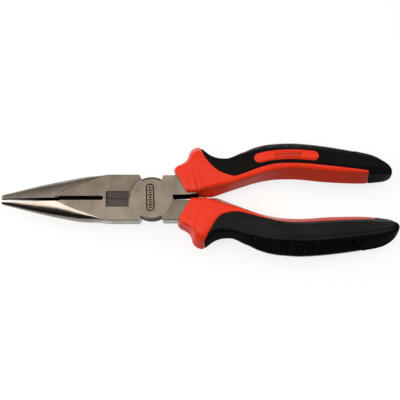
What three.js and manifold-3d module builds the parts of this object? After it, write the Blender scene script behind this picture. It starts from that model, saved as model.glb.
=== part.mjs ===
// Needle nose pliers, nominal 200 mm, closed, lying flat.
//
// Two forged levers cross at a lap joint and turn on one flush rivet. Each lever carries an injected
// handle: a hard core pushed onto the tang, a soft cover over its outer side and an inlaid badge.
// The back lever is the front lever turned half a turn about the long axis, except that the jaws meet
// a little below the pivot's centre line and the cutting edge lies nearer the front face.
//
// Millimetres. +X runs from the pivot to the handle ends, +Y to the upper handle, +Z up.
// The origin is on the pivot axis, on the back face of the joint.
import * as THREE from "three";
import { mergeVertices } from "three/addons/utils/BufferGeometryUtils.js";
import Module from "manifold-3d";

const wasm = await Module();
wasm.setup();

// ---- driving dimensions -------------------------------------------------------------------------
const STEEL_THICKNESS = 10;
const HALF = STEEL_THICKNESS / 2;
const RUNNING_GAP = 0.2; // between faces that slide on each other
const FIT_GAP = 0.3; // between pieces fixed to each other

const JOINT_RADIUS = 10.9; // the half-thickness disc of each lever
const INSIDE_DISC = 7.5; // where a tang's outline starts, well inside the disc
const HEAD_HALF_WIDTH = 12;
const EDGE_BREAK = 0.6; // chamfer round the steel faces
const NOTCH_CHAMFER = 1.3; // on the joint disc, in the notches above and below it
const SHOULDER_ANGLE = 62.4; // degrees from +X, where a tang ends beside the joint disc

const TIP_X = -77.2;
const BITE_Y = -0.3; // where the closed jaws meet
const NOSE_SHIFT = 0.25; // the nose lies this much lower than the head
const NOSE_SHIFT_ENDS = [-40, -27];
const TOOTH_START = 1.2; // from the tip
const TOOTH_COUNT = 26;
const TOOTH_PITCH = 1.13;
// How far the crests stand back from the bite line at the tip and at the slot, and the teeth's depth.
const LOWER_TEETH = { atTip: 1.35, atSlot: 1.3, depth: 0.25 };
const UPPER_TEETH = { atTip: 0.35, atSlot: 0.1, depth: 1.05 };
const RELIEF = { end: -24.6, halfHeight: 1.05, taper: 0.6 }; // the slot behind the teeth
const CUTTER = { start: -22.8, end: -11.6, above: 3.6, below: 4.5, edgeZ: 3 };
const CUTTING_EDGE = 0.15; // half of the line of light between the closed cutting edges
const CUTTING_LAND = 0.3;

const DISC_SIDES = 72;
const RIVET_SIDES = 36;
const RIVET = { shank: 3.2, head: 4.2, headDepth: 1.6, clearance: 0.1 };

const TANG_HALF_THICKNESS_IN_GRIP = 3.5;
const TANG_STEP_X = 21; // the tang thins here, just inside the handle

const COVER_SIDE = 3; // thickness of the soft cover on the outer edge
const COVER_FACE = 2.3; // and on the two broad faces
const COVER_START_X = 25.3;
const CAP_START_X = 111.5; // past here the soft cover is a closed end cap

const BADGE_HEIGHT = 5.2;
const BADGE_THICKNESS = 1.1;
const BADGE_POCKET = 1.4;
const OUTLINE_STEPS = 24; // along a smooth edge line
const FAR = 60; // past anything in the tool

// The lower handle is seated a little further back and turned a little further out than the upper.
const LOWER_SEAT = { slide: 2, turn: 1.9, about: [86, 18] };

// Jaw sections: distance along X, half width, where the flat face ends, half thickness.
const JAW = [
  [TIP_X, 2.1, 0, 1.4],
  [-76.2, 2.65, 0, 1.7],
  [-70.4, 4.15, 0, 2.5],
  [-64.3, 5.75, 0, 3.3],
  [-58.2, 7.25, 0, 4.1],
  [-52.1, 8.65, 0, 4.8],
  [-49, 9.35, 0.9, HALF],
  [-45.9, 9.85, 2.7, HALF],
  [-42.8, 10.45, 4.3, HALF],
  [-36.6, 11.55, 6.8, HALF],
  [-30.5, HEAD_HALF_WIDTH, 9.1, HALF],
  [-24.2, HEAD_HALF_WIDTH, HEAD_HALF_WIDTH - EDGE_BREAK, HALF],
  [0, HEAD_HALF_WIDTH, HEAD_HALF_WIDTH - EDGE_BREAK, HALF],
];

// Tang outline: where it leaves the joint, then past the joint its upper and its lower edge.
const TANG_EDGE = 11.7;
const TANG_SHOULDER_X = 14;
const TANG_ROOT = [[4, 1.1], [10.6, 1.1], [17, 1.2], [21, 1.6]];
const TANG_UPPER = [
  [22, 11.3], [30, 12.4], [40, 15], [50, 18.8], [60, 21.8], [71, 23.2], [85, 22.4], [106, 19.2],
];
const TANG_LOWER = [
  [108.6, 17.4], [106, 15.6], [85, 16.3], [70, 17], [58, 15.4], [46, 11.2], [34, 6.8], [25, 4.1],
];

// Handle sections: outer edge x, y, inner edge x, y, half thickness, how far the outer and the inner
// side lean in on their way up to the face, and how far the outer one is rounded there.
const GRIP = [
  [12, 13.4, 17.8, 3, 6.2, 1, 0.4, 0.5],
  [11.3, 14.9, 18.1, 2.3, 6.9, 1.6, 0.5, 0.8],
  [11.6, 16.5, 18.7, 2.1, 7.25, 2, 0.6, 1],
  [12.8, 17.8, 19.6, 2, 7.4, 2.2, 0.8, 1.2],
  [15, 18.9, 21, 1.9, 7.4, 2.4, 0.9, 1.2],
  [17, 20.2, 22.2, 1.8, 7.5, 2.6, 1, 1.4],
  [18.3, 21.9, 23.3, 1.7, 7.9, 3, 1.2, 2],
  [18.9, 23.7, 24.2, 1.5, 8.8, 3.6, 1.4, 3.5],
  [19.5, 25.3, 25.2, 1.3, 9.35, 4.3, 1.6, 5],
  [20.6, 26.6, 26.2, 1.25, 9.4, 4.5, 2, 5.5],
  [22.3, 27.6, 27.4, 1.2, 9.35, 4.5, 2.5, 5.5],
  [24.3, 27.9, 28.7, 1.15, 9.25, 4.4, 3, 5.5],
  [26, 27.1, 30, 1.05, 9.1, 4.2, 3.4, 5],
  [27.8, 25.6, 31.6, 1.35, 8.9, 3.8, 3.6, 4],
  [30.4, 23.7, 33.6, 2, 8.7, 3.2, 3.5, 3],
  [33.8, 22.4, 36.4, 3, 8.5, 2.8, 3.1, 2.5],
  [37.3, 22, 39.3, 4, 8.4, 2.5, 2.6, 2],
  [40.5, 22.4, 42.2, 5, 8.3, 2.5, 2.3, 2],
  [46.8, 25.2, 48.2, 7, 8.2, 2.9, 2.3, 1.8],
  [52, 27.6, 53, 8.5, 8.2, 3.6, 2.5, 1.5],
  [58.4, 29.4, 59, 9.85, 8.2, 4.3, 3.1, 1.5],
  [66, 30.3, 66, 10.6, 8.2, 4.6, 4, 1.5],
  [76, 30.4, 76, 10.5, 8.2, 4.8, 4.6, 1.5],
  [90.8, 28.6, 90, 9.1, 8.2, 4.6, 4.7, 1.5],
  [107, 25.7, 106, 8.4, 8.2, 4.2, 4.3, 1.6],
  [115.5, 23.5, 115.2, 8.9, 7.9, 4, 3.6, 2.5],
  [120.6, 20.3, 120.4, 9.7, 6.9, 3.6, 2.4, 3],
  [123.2, 17, 123.1, 11.2, 4.8, 1.8, 1.5, 1.5],
  [124, 14.8, 124, 12.9, 1.6, 0.3, 0.3, 0.2],
];
const GRIP_STEPS = GRIP.length - 1; // sections along the whole handle
const RAIL_STEPS = 17; // sections along the part of the core under the soft cover
const INNER_ROUNDING = 1.7;
const LEAN_SHARE = 0.6; // of the room beside the face, the rest of it goes to the rounding
const FACE_CROWN = 0.35; // the broad faces are slightly domed
const MID_FACE = 50; // past here the faces lie flat at one height

// Where the soft cover ends on the two broad faces.
const COVER_EDGE_FRONT = [
  [COVER_START_X, 24.6], [28.4, 18.8], [33.9, 13.4], [40, 10.9], [44, 10.8], [55.3, 14.9],
  [64.5, 17.1], [76.8, 17.2], [89, 16.1], [CAP_START_X, 13.4],
];
const COVER_EDGE_BACK = [
  [COVER_START_X, 24.6], [28.5, 18], [31.6, 13], [35.2, 10.6], [41.2, 9.5], [47.2, 10.4],
  [56, 13], [68, 14.3], [80, 13.4], [CAP_START_X, 10.6],
];

const BADGE_LINE = [[55.1, 19.8], [61, 21.1], [69, 21.8], [76, 21.7], [82.8, 21.1]];

// ---- materials ----------------------------------------------------------------------------------
const steel = new THREE.MeshStandardMaterial({ color: 0x968c7d, roughness: 0.38, metalness: 1 });
const redPlastic = new THREE.MeshStandardMaterial({ color: 0xf0462a, roughness: 0.4, metalness: 0 });
const blackRubber = new THREE.MeshStandardMaterial({ color: 0x1c1c1d, roughness: 0.7, metalness: 0 });

// ---- solids -------------------------------------------------------------------------------------
const radians = THREE.MathUtils.degToRad;

function toSolid(geometry) {
  const bare = geometry.index ? geometry.toNonIndexed() : geometry.clone();
  bare.deleteAttribute("normal");
  bare.deleteAttribute("uv");
  const merged = mergeVertices(bare, 1e-4);
  const vertProperties = new Float32Array(merged.attributes.position.array);
  const triVerts = new Uint32Array(merged.index.array);
  return new wasm.Manifold(new wasm.Mesh({ numProp: 3, vertProperties, triVerts }));
}

function toMesh(name, solid, material) {
  const made = solid.getMesh();
  const geometry = new THREE.BufferGeometry();
  geometry.setAttribute("position", new THREE.BufferAttribute(made.vertProperties, 3));
  geometry.setIndex(new THREE.BufferAttribute(made.triVerts, 1));
  geometry.computeVertexNormals();
  const mesh = new THREE.Mesh(geometry, material);
  mesh.name = name;
  return mesh;
}

function shapeOf(points) {
  return new THREE.Shape(points.map(([x, y]) => new THREE.Vector2(x, y)));
}

// A plate with the given outline between two heights, its edges moved out by grow.
function plate(points, bottom, top, grow = 0) {
  const geometry = new THREE.ExtrudeGeometry(shapeOf(points), {
    depth: top - bottom,
    bevelEnabled: grow !== 0,
    bevelThickness: Math.abs(grow),
    bevelSize: grow,
    bevelSegments: 1,
  });
  return toSolid(geometry.translate(0, 0, bottom));
}

// A plate with both of its rims chamfered.
function chamferedPlate(points, halfThickness, chamfer) {
  const geometry = new THREE.ExtrudeGeometry(shapeOf(points), {
    depth: 2 * (halfThickness - chamfer),
    bevelThickness: chamfer,
    bevelSize: chamfer,
    bevelOffset: -chamfer,
    bevelSegments: 1,
  });
  return toSolid(geometry.translate(0, 0, chamfer - halfThickness));
}

function disc(radius, bottom, top) {
  const geometry = new THREE.CylinderGeometry(radius, radius, top - bottom, DISC_SIDES);
  return toSolid(geometry.rotateX(Math.PI / 2).translate(0, 0, (top + bottom) / 2));
}

// A solid through closed rings of points, all with the same number of points.
function loft(rings) {
  const count = rings[0].length;
  const centre = (ring) => ring.reduce((sum, p) => sum.add(p), new THREE.Vector3()).divideScalar(count);
  const points = [...rings.flat(), centre(rings[0]), centre(rings.at(-1))];
  const first = rings.length * count;
  const index = [];
  for (let i = 0; i < count; i += 1) {
    const next = (i + 1) % count;
    for (let r = 0; r + 1 < rings.length; r += 1) {
      const a = r * count + i;
      const b = r * count + next;
      index.push(a, b, b + count, a, b + count, a + count);
    }
    const last = (rings.length - 1) * count;
    index.push(first, next, i, first + 1, last + i, last + next);
  }
  const geometry = new THREE.BufferGeometry().setFromPoints(points);
  geometry.setIndex(index);
  return toSolid(geometry);
}

// Rows of numbers made smooth: count rows spaced evenly through the given ones.
function smoothRows(rows, count) {
  const rowAt = (column, k) => rows[Math.min(Math.max(k, 0), rows.length - 1)][column];
  return Array.from({ length: count + 1 }, (_, step) => {
    const place = (step / count) * (rows.length - 1);
    const k = Math.min(Math.floor(place), rows.length - 2);
    const t = place - k;
    return rows[0].map((_unused, column) => {
      const [a, b, c, d] = [-1, 0, 1, 2].map((offset) => rowAt(column, k + offset));
      const slopeB = (c - a) / 2;
      const slopeC = (d - b) / 2;
      return (
        b + t * (slopeB + t * (3 * (c - b) - 2 * slopeB - slopeC + t * (2 * (b - c) + slopeB + slopeC)))
      );
    });
  });
}

// ---- levers -------------------------------------------------------------------------------------
// One half of the nose: flat on the faces, rounded down to the outline, open on the jaw side.
function jawSection([x, halfWidth, flatEnd, halfThickness], shift) {
  const [shiftEnd, shiftGone] = NOSE_SHIFT_ENDS;
  const outer = halfWidth + shift * THREE.MathUtils.clamp((shiftGone - x) / (shiftGone - shiftEnd), 0, 1);
  const rounding = Array.from({ length: 9 }, (_, i) => {
    const angle = radians(90 - i * 22.5);
    const y = flatEnd + (outer - flatEnd) * Math.cos(angle);
    return new THREE.Vector3(x, -y, halfThickness * Math.sin(angle));
  });
  return [new THREE.Vector3(x, 1, halfThickness), ...rounding, new THREE.Vector3(x, 1, -halfThickness)];
}

// Everything above the biting line: teeth, relief slot, meeting land, cutting edge.
function aboveBite(bite, teeth) {
  const firstTooth = TIP_X + TOOTH_START;
  const line = [[TIP_X - 1, -teeth.atTip]];
  for (let tooth = 0; tooth < TOOTH_COUNT; tooth += 1) {
    const x = firstTooth + tooth * TOOTH_PITCH;
    const crest = -teeth.atTip + (teeth.atTip - teeth.atSlot) * (tooth / TOOTH_COUNT);
    line.push([x, crest], [x + TOOTH_PITCH / 2, crest - teeth.depth]);
  }
  const slotStart = firstTooth + TOOTH_COUNT * TOOTH_PITCH;
  line.push([slotStart, -RELIEF.halfHeight], [RELIEF.end - RELIEF.taper, -RELIEF.halfHeight]);
  line.push([RELIEF.end, -CUTTING_EDGE], [0, -CUTTING_EDGE], [0, 3], [TIP_X - 1, 3]);
  return plate(line.map(([x, y]) => [x, y + bite]), -HALF - 1, HALF + 1);
}

// The two bevels that leave a cutting edge, the wider on the side of the thickness it is far from.
function cutterPocket(bite, bevel, edgeZ) {
  const reach = HALF + 1;
  const far = bite - bevel;
  const near = bite - CUTTING_EDGE;
  const section = [
    [1, -reach], [1, reach], [far, reach], [far, HALF], [near, edgeZ + CUTTING_LAND],
    [near, edgeZ - CUTTING_LAND], [far, -HALF], [far, -reach],
  ];
  const geometry = new THREE.ExtrudeGeometry(shapeOf(section), {
    depth: CUTTER.end - CUTTER.start,
    bevelEnabled: false,
  });
  // The section's x is the tool's y and its y the tool's z, and it runs along the tool's x.
  const axes = new THREE.Matrix4().makeBasis(
    new THREE.Vector3(0, 1, 0),
    new THREE.Vector3(0, 0, 1),
    new THREE.Vector3(1, 0, 0),
  );
  return toSolid(geometry.applyMatrix4(axes).translate(CUTTER.start, 0, 0));
}

// The way the shoulder of a tang runs from the pivot.
const shoulderDirection = [Math.cos(radians(SHOULDER_ANGLE)), Math.sin(radians(SHOULDER_ANGLE))];

// The side of the lower jaw towards the notch below the joint.
function belowShoulder() {
  const reach = 2 * HEAD_HALF_WIDTH;
  const [x, y] = shoulderDirection;
  return plate([[0, 0], [-reach * x, -reach * y], [reach, -reach], [reach, 0]], -HALF - 1, HALF + 1);
}

function tangOutline() {
  const [x, y] = shoulderDirection;
  const corner = [(TANG_EDGE * x) / y, TANG_EDGE];
  const insideDisc = [x * INSIDE_DISC, y * INSIDE_DISC];
  return [
    ...TANG_ROOT, ...TANG_LOWER.toReversed(), ...TANG_UPPER.toReversed(),
    [TANG_SHOULDER_X, TANG_EDGE], corner, insideDisc,
  ];
}

function tangSolid(grow) {
  const outline = tangOutline();
  const root = outline.filter(([x]) => x <= TANG_STEP_X);
  const top = [TANG_STEP_X, TANG_UPPER[0][1]];
  const rootOutline = [...root.slice(0, TANG_ROOT.length), top, ...root.slice(TANG_ROOT.length)];
  const thin = TANG_HALF_THICKNESS_IN_GRIP;
  if (grow > 0) {
    return plate(rootOutline, -HALF, HALF, grow).add(plate(outline, -thin, thin, grow));
  }
  return chamferedPlate(rootOutline, HALF, EDGE_BREAK).add(chamferedPlate(outline, thin, EDGE_BREAK));
}

// What is ground off the rim of the joint disc between the shoulders, above and below.
function notchChamfers() {
  const rim = JOINT_RADIUS + 1;
  const deep = NOTCH_CHAMFER + 1;
  const profile = [[rim, HALF - deep], [rim, HALF + 1], [JOINT_RADIUS - deep, HALF + 1]];
  const ring = new THREE.LatheGeometry(shapeOf([...profile, profile[0]]).getPoints(), DISC_SIDES);
  const [x, y] = shoulderDirection;
  const reach = 2 * JOINT_RADIUS;
  const notches = plate([[0, 0], [reach * x, reach * y], [-reach * x, reach * y]], 0, HALF + 2)
    .add(plate([[0, 0], [-reach * x, -reach * y], [reach * x, -reach * y]], 0, HALF + 2));
  return toSolid(ring.rotateX(Math.PI / 2)).intersect(notches);
}

function rivetSolid(grow) {
  const { shank, head, headDepth } = RIVET;
  const profile = [
    [0, -HALF - grow], [head + grow, -HALF - grow], [head + grow, -HALF], [shank + grow, headDepth - HALF],
    [shank + grow, HALF - headDepth], [head + grow, HALF], [head + grow, HALF + grow], [0, HALF + grow],
  ];
  const geometry = new THREE.LatheGeometry(shapeOf(profile).getPoints(), RIVET_SIDES);
  return toSolid(geometry.rotateX(Math.PI / 2));
}

// Lower jaw, front half of the joint disc, upper tang. The back lever is made as it lies once turned over.
function leverSolid(isBack) {
  const side = isBack ? -1 : 1;
  const bite = side * BITE_Y;
  const jaw = loft(JAW.map((row) => jawSection(row, side * NOSE_SHIFT))).subtract(belowShoulder());
  const pocket = cutterPocket(bite, isBack ? CUTTER.above : CUTTER.below, side * CUTTER.edgeZ);
  const teeth = isBack ? UPPER_TEETH : LOWER_TEETH;
  const body = jaw.subtract(aboveBite(bite, teeth)).subtract(pocket).add(tangSolid(0));
  const otherDisc = disc(JOINT_RADIUS + RUNNING_GAP, -HALF - 1, RUNNING_GAP / 2);
  const ownDisc = disc(JOINT_RADIUS, RUNNING_GAP / 2, HALF).subtract(notchChamfers());
  return body.subtract(otherDisc).add(ownDisc).subtract(rivetSolid(RIVET.clearance));
}

// ---- handles ------------------------------------------------------------------------------------
// Half of one side of a section from the face down to the ridge at the middle, as [inward, z].
function sideProfile(lean, rounding, height) {
  const wall = Math.hypot(lean, height);
  const straight = 1 - Math.min(rounding / wall, 0.8);
  return [[lean + rounding, height], [lean * straight, height * straight]];
}

// A section of the handle between its outer and inner edge, drawn in by side and face.
function gripSection(row, side, face) {
  const [outerX, outerY, innerX, innerY, half, outerLean, innerLean, outerRounding] = row;
  const outer = new THREE.Vector2(outerX, outerY);
  const inner = new THREE.Vector2(innerX, innerY);
  const width = outer.distanceTo(inner);
  const along = inner.clone().sub(outer).divideScalar(width);
  const height = Math.max(half - face, 0.4);
  const room = 0.45 * (width - 2 * side);
  const sideOf = (lean, rounding) => {
    const bend = Math.min(rounding, (1 - LEAN_SHARE) * room);
    return sideProfile(Math.min(lean, LEAN_SHARE * room), bend, height);
  };
  const near = sideOf(outerLean, outerRounding).toReversed();
  const far = sideOf(innerLean, INNER_ROUNDING).map(([inward, z]) => [width - 2 * side - inward, z]);
  const upper = [...near, [width / 2 - side, height + FACE_CROWN], ...far];
  const lower = upper.toReversed().map(([inward, z]) => [inward, -z]);
  const section = [[0, 0], ...upper, [width - 2 * side, 0], ...lower];
  return section.map(([inward, z]) => {
    const { x, y } = outer.clone().addScaledVector(along, side + inward);
    return new THREE.Vector3(x, y, z);
  });
}

function gripSolid(side, face) {
  const steps = side === 0 ? GRIP_STEPS : RAIL_STEPS;
  const rows = smoothRows(GRIP, steps).filter(([x]) => side === 0 || x < GRIP.at(-1)[0] - side);
  return loft(rows.map((row) => gripSection(row, side, face)));
}

// The region of the soft cover: outside its edge line on each face, and everything past the cap line.
function coverRegion(grow) {
  const outline = (edge) => [
    ...smoothRows(edge, OUTLINE_STEPS).map(([x, y]) => [x, y - grow]),
    [CAP_START_X - grow, -FAR], [2 * CAP_START_X, -FAR], [2 * CAP_START_X, FAR],
    [COVER_START_X - grow, FAR], [COVER_START_X - grow, edge[0][1]],
  ];
  const front = plate(outline(COVER_EDGE_FRONT), 0, FAR);
  const back = plate(outline(COVER_EDGE_BACK), -FAR, 0.01);
  return front.add(back);
}

function badgeOutline(grow) {
  const line = new THREE.SplineCurve(BADGE_LINE.map(([x, y]) => new THREE.Vector2(x, y)));
  const radius = BADGE_HEIGHT / 2 + grow;
  const side = (t, sign) => {
    const direction = line.getTangent(t);
    const p = line.getPoint(t);
    return [p.x - sign * radius * direction.y, p.y + sign * radius * direction.x];
  };
  const end = (t, sign) => {
    const direction = line.getTangent(t);
    const p = line.getPoint(t);
    const start = Math.atan2(direction.y, direction.x) + (sign * Math.PI) / 2;
    return [1, 2, 3, 4, 5].map((k) => {
      const angle = start - (k * Math.PI) / 6;
      return [p.x + radius * Math.cos(angle), p.y + radius * Math.sin(angle)];
    });
  };
  const steps = [0, 0.2, 0.4, 0.6, 0.8, 1];
  const upper = steps.map((t) => side(t, 1));
  const lower = steps.toReversed().map((t) => side(t, -1));
  return [...upper, ...end(1, 1), ...lower, ...end(0, -1)];
}

// The three pieces of one handle, in the frame of the upper handle.
function handleSolids(tang) {
  const whole = gripSolid(0, 0);
  const rail = gripSolid(COVER_SIDE, COVER_FACE);
  const railWithGap = gripSolid(COVER_SIDE - FIT_GAP, COVER_FACE - FIT_GAP);
  const face = Math.max(...GRIP.map(([x, , , , half]) => (x > MID_FACE ? half : 0))) + FACE_CROWN;
  const badge = plate(badgeOutline(0), face - BADGE_THICKNESS, face);
  const pocket = plate(badgeOutline(FIT_GAP), face - BADGE_POCKET, face + 2);
  const cover = whole.intersect(coverRegion(0)).subtract(railWithGap).subtract(pocket);
  const core = whole.subtract(coverRegion(FIT_GAP)).add(rail).subtract(tang);
  return { core, cover, badge };
}

// Moves a solid of the upper handle to the lower handle's seat.
function lowerSeat(direction) {
  const [x, y] = LOWER_SEAT.about;
  const turn = new THREE.Matrix4().makeRotationZ(radians(LOWER_SEAT.turn));
  const seat = new THREE.Matrix4().makeTranslation(x + LOWER_SEAT.slide, y, 0).multiply(turn);
  seat.multiply(new THREE.Matrix4().makeTranslation(-x, -y, 0));
  return direction > 0 ? seat : seat.invert();
}

// ---- assembly -----------------------------------------------------------------------------------
const tang = tangSolid(FIT_GAP);
const upperHandle = handleSolids(tang);
const lowerHandle = handleSolids(tang.transform(lowerSeat(-1).elements));

const pliers = new THREE.Group();
const middle = new THREE.Group();
middle.position.z = HALF; // the joint's back face is at z = 0
pliers.add(middle);

middle.add(toMesh("lever_front", leverSolid(false), steel));
middle.add(toMesh("pivot_rivet", rivetSolid(0), steel));
middle.add(toMesh("upper_grip_core", upperHandle.core, redPlastic));
middle.add(toMesh("upper_grip_cover", upperHandle.cover, blackRubber));
middle.add(toMesh("upper_badge", upperHandle.badge, redPlastic));

const turnedHalf = new THREE.Group();
turnedHalf.rotation.x = Math.PI;
middle.add(turnedHalf);
turnedHalf.add(toMesh("lever_back", leverSolid(true), steel));

const lowerGrip = new THREE.Group();
lowerGrip.applyMatrix4(lowerSeat(1));
turnedHalf.add(lowerGrip);
lowerGrip.add(toMesh("lower_grip_core", lowerHandle.core, redPlastic));
lowerGrip.add(toMesh("lower_grip_cover", lowerHandle.cover, blackRubber));
lowerGrip.add(toMesh("lower_badge", lowerHandle.badge, redPlastic));

export default pliers;
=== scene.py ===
"""Needle nose pliers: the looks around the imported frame.

The steel levers, the rivet, the moulded handles, their soft covers and the badges are built here as
fine meshes in the frame's own places. Shapes are made in millimetres in the frame of the front lever,
with the middle plane of the joint at z = 0, and are then placed on their CAD body.
"""

import math

import bmesh
import bpy
import numpy as np
from mathutils import Matrix, Vector


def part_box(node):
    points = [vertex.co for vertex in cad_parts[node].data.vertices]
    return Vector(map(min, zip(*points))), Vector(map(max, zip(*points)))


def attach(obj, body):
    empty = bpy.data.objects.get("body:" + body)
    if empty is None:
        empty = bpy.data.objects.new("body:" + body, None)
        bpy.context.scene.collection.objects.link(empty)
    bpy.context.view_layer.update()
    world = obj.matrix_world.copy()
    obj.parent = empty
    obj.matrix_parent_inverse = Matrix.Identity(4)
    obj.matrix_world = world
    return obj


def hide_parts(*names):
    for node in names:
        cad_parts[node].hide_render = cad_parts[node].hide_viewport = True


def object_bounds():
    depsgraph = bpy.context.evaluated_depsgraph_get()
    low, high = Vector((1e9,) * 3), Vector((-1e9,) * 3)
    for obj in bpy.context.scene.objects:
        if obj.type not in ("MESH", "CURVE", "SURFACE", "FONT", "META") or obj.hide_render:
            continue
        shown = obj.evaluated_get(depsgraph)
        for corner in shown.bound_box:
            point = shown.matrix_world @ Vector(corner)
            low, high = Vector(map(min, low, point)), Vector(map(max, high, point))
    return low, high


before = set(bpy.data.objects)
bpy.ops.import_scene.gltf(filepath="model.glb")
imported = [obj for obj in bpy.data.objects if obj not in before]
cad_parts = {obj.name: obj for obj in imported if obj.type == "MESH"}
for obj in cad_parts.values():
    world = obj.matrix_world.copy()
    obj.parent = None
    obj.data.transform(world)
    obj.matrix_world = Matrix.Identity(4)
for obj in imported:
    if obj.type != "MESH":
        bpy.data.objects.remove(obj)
CAD_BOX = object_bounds()

# ---- dimensions in millimetres -------------------------------------------------------------------
LEVER_LOW, LEVER_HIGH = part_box("lever_front")
HALF = (LEVER_HIGH.z - LEVER_LOW.z) * 500
MIDDLE_Z = (LEVER_HIGH.z + LEVER_LOW.z) * 500
TIP_X = LEVER_LOW.x * 1000

# How far a cutting solid reaches past what it cuts, and places beyond the whole handle.
CLEAR = 1.0
ABOVE_ALL = 20.0
BELOW_HANDLE = -10.0

# The joint disc, the notches on both sides of it and the socket that it turns in. The disc's rim is
# ground off where a notch shows it, by half turns about the joint: 0 the upper notch, 1 the lower.
RUNNING_GAP = 0.2
JOINT_RADIUS = 10.9
HEAD_HALF_WIDTH = 12.0
EDGE_BREAK = 0.3
SHOULDER_ANGLE = math.radians(62.4)
NOTCH_CHAMFER = {0: 1.3, 1: 0.3}
NOTCH_MARGIN = 0.02
SOCKET_SHIFT = (-0.08, -0.06, 0)

# The line where the jaws meet, its teeth, the slot behind them and the cutter.
BITE_Y = -0.3
BITE_GAP = 0.12
NOSE_SHIFT = 0.25
NOSE_SHIFT_FADES = (-40.0, -27.0)
TOOTH_START = 1.2
TOOTH_COUNT = 26
TOOTH_PITCH = 1.13
# Where a tooth's crest ends and its valley starts and ends, in shares of the pitch, and the first
# tooth's share of the depth, which is full after a quarter of the teeth.
TOOTH_FORM = (0.32, 0.42, 0.9)
FIRST_DEPTH = 0.75
TIP_LAND = 0.3
# How far each jaw's crests stand back from the bite line at the tip and at the slot, and their depth.
TEETH = {1: (1.35, 1.3, 0.25), -1: (0.35, 0.1, 1.05)}
RELIEF_END = -24.6
RELIEF_HALF = 1.1
# The slot's rounded end: how far short of RELIEF_END, and the share of the half height there.
RELIEF_ROUNDING = [(0.55, 1.0), (0.15, 0.8), (0.0, 0.45)]
CUTTER_START = -23.1
CUTTER_END = -11.4
CUTTER_ABOVE = 3.6
CUTTER_BELOW = 4.65
CUTTER_EDGE_Z = 3.2
CUTTING_EDGE = 0.02
CUTTER_LAND = 0.3
# Half the height of the cutting edge and of the land behind it, and how far below the front and the
# back face the pocket's slopes end.
CUTTER_HALVES = (0.15, 0.22)
CUTTER_RIMS = (0.35, 0.5)

RIVET_SHANK = 3.2
RIVET_HEAD = 4.2
RIVET_SINK = 1.6
RIVET_CLEARANCE = 0.015

# The sunk oval on the joint, with bars and dots by turns. A mark is half its width by half its height.
STAMP_CENTRE = (-0.53, -0.07)
STAMP_HALF_LENGTH = 7.2
STAMP_RADIUS = 2.1
STAMP_LINE = 0.62
STAMP_DEPTH = 0.45
STAMP_LEAN = math.radians(2.1)
STAMP_BAR = (1.15, 0.32)
STAMP_DOT = (0.55, 0.45)
STAMP_PITCH = 1.3

# How the lower handle sits on its tang, against the upper one.
SLIDE = 2.0
TURN = math.radians(1.9)
SEAT_ABOUT = Vector((86, 18, 0))

# The opening that leaves the tang bare, the cover and its end cap.
WINDOW_END = 24.8
WINDOW_REACH = 12.0
WINDOW_RIM = 0.3
WINDOW_DEPTH = (-5.0, 3.0)
COVER_START_X = 25.3
CAP_START_X = 111.5
CAP_LEAN = 0.11
COVER_SIDE = 3.0
COVER_FACE = 2.3
PART_LINE = 0.04

# The ribs along the outer side of the cover.
PAST_GUARD_X = 32.0
SIDE_DEPTH = 7.0
RIB_PITCH = 1.15
RIB_DEPTH = 0.5
RIB_START_STEP = 1.0
RIB_END_STEP = 0.6
RIB_BAND = (6.6, 7.8)
RIB_ZONE = (47.5, 105.0)

# Jaw: place along X, half width, where the flat ends, half thickness, squareness of the edge.
JAW = [
    (TIP_X, 2.1, 0, 1.4, 2),
    (TIP_X + 0.9, 2.65, 0, 1.75, 2),
    (-73.5, 3.4, 0, 2.15, 2),
    (-70.4, 4.15, 0, 2.55, 2),
    (-64.3, 5.75, 0, 3.35, 2),
    (-58.2, 7.25, 0, 4.15, 2),
    (-54.0, 8.2, 0, 4.65, 2),
    (-51.5, 8.75, 0.1, 4.9, 2),
    (-50.0, 9.1, 0.5, 4.98, 2),
    (-48.5, 9.35, 1.2, HALF, 2),
    (-47.0, 9.65, 2.05, HALF, 2),
    (-45.5, 9.95, 2.95, HALF, 2),
    (-43.5, 10.35, 3.95, HALF, 2),
    (-41.0, 10.8, 5.05, HALF, 2),
    (-38.0, 11.35, 6.25, HALF, 2.1),
    (-35.0, 11.75, 7.4, HALF, 2.2),
    (-32.0, HEAD_HALF_WIDTH, 8.5, HALF, 2.4),
    (-29.0, HEAD_HALF_WIDTH, 9.6, HALF, 2.7),
    (-26.0, HEAD_HALF_WIDTH, 10.65, HALF, 3.4),
    (-23.0, HEAD_HALF_WIDTH, 11.45, HALF, 5),
    (-20.0, HEAD_HALF_WIDTH, 11.6, HALF, 6),
    (0, HEAD_HALF_WIDTH, 11.6, HALF, 6),
]
JAW_SPACING = 0.5
JAW_OVERLAP = 1.5
# How steeply the rounded side leaves the face, and the painted dark reflection along that crease on the
# upper jaw: its width, and where it fades in and out along X.
CREASE_ANGLE = math.radians(9)
CREASE_LINE = 0.55
CREASE_FROM = (-50.0, -45.0)
CREASE_TO = (-32.0, -25.0)
# Where the rounded side turns into the head's straight one.
CHAMFERED_FROM = (-24.5, -21.5)

TANG_EDGE = 11.7
TANG_ROOT = 6.0
TANG_SIDE = [(17, 1.2), (20, 1.4), (24, 2.0)]
TANG = [(4, 1.1), (10.6, 1.1), *TANG_SIDE, (24, TANG_EDGE), (14, TANG_EDGE)]
TANG_CLEARANCE = 0.05

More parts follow.
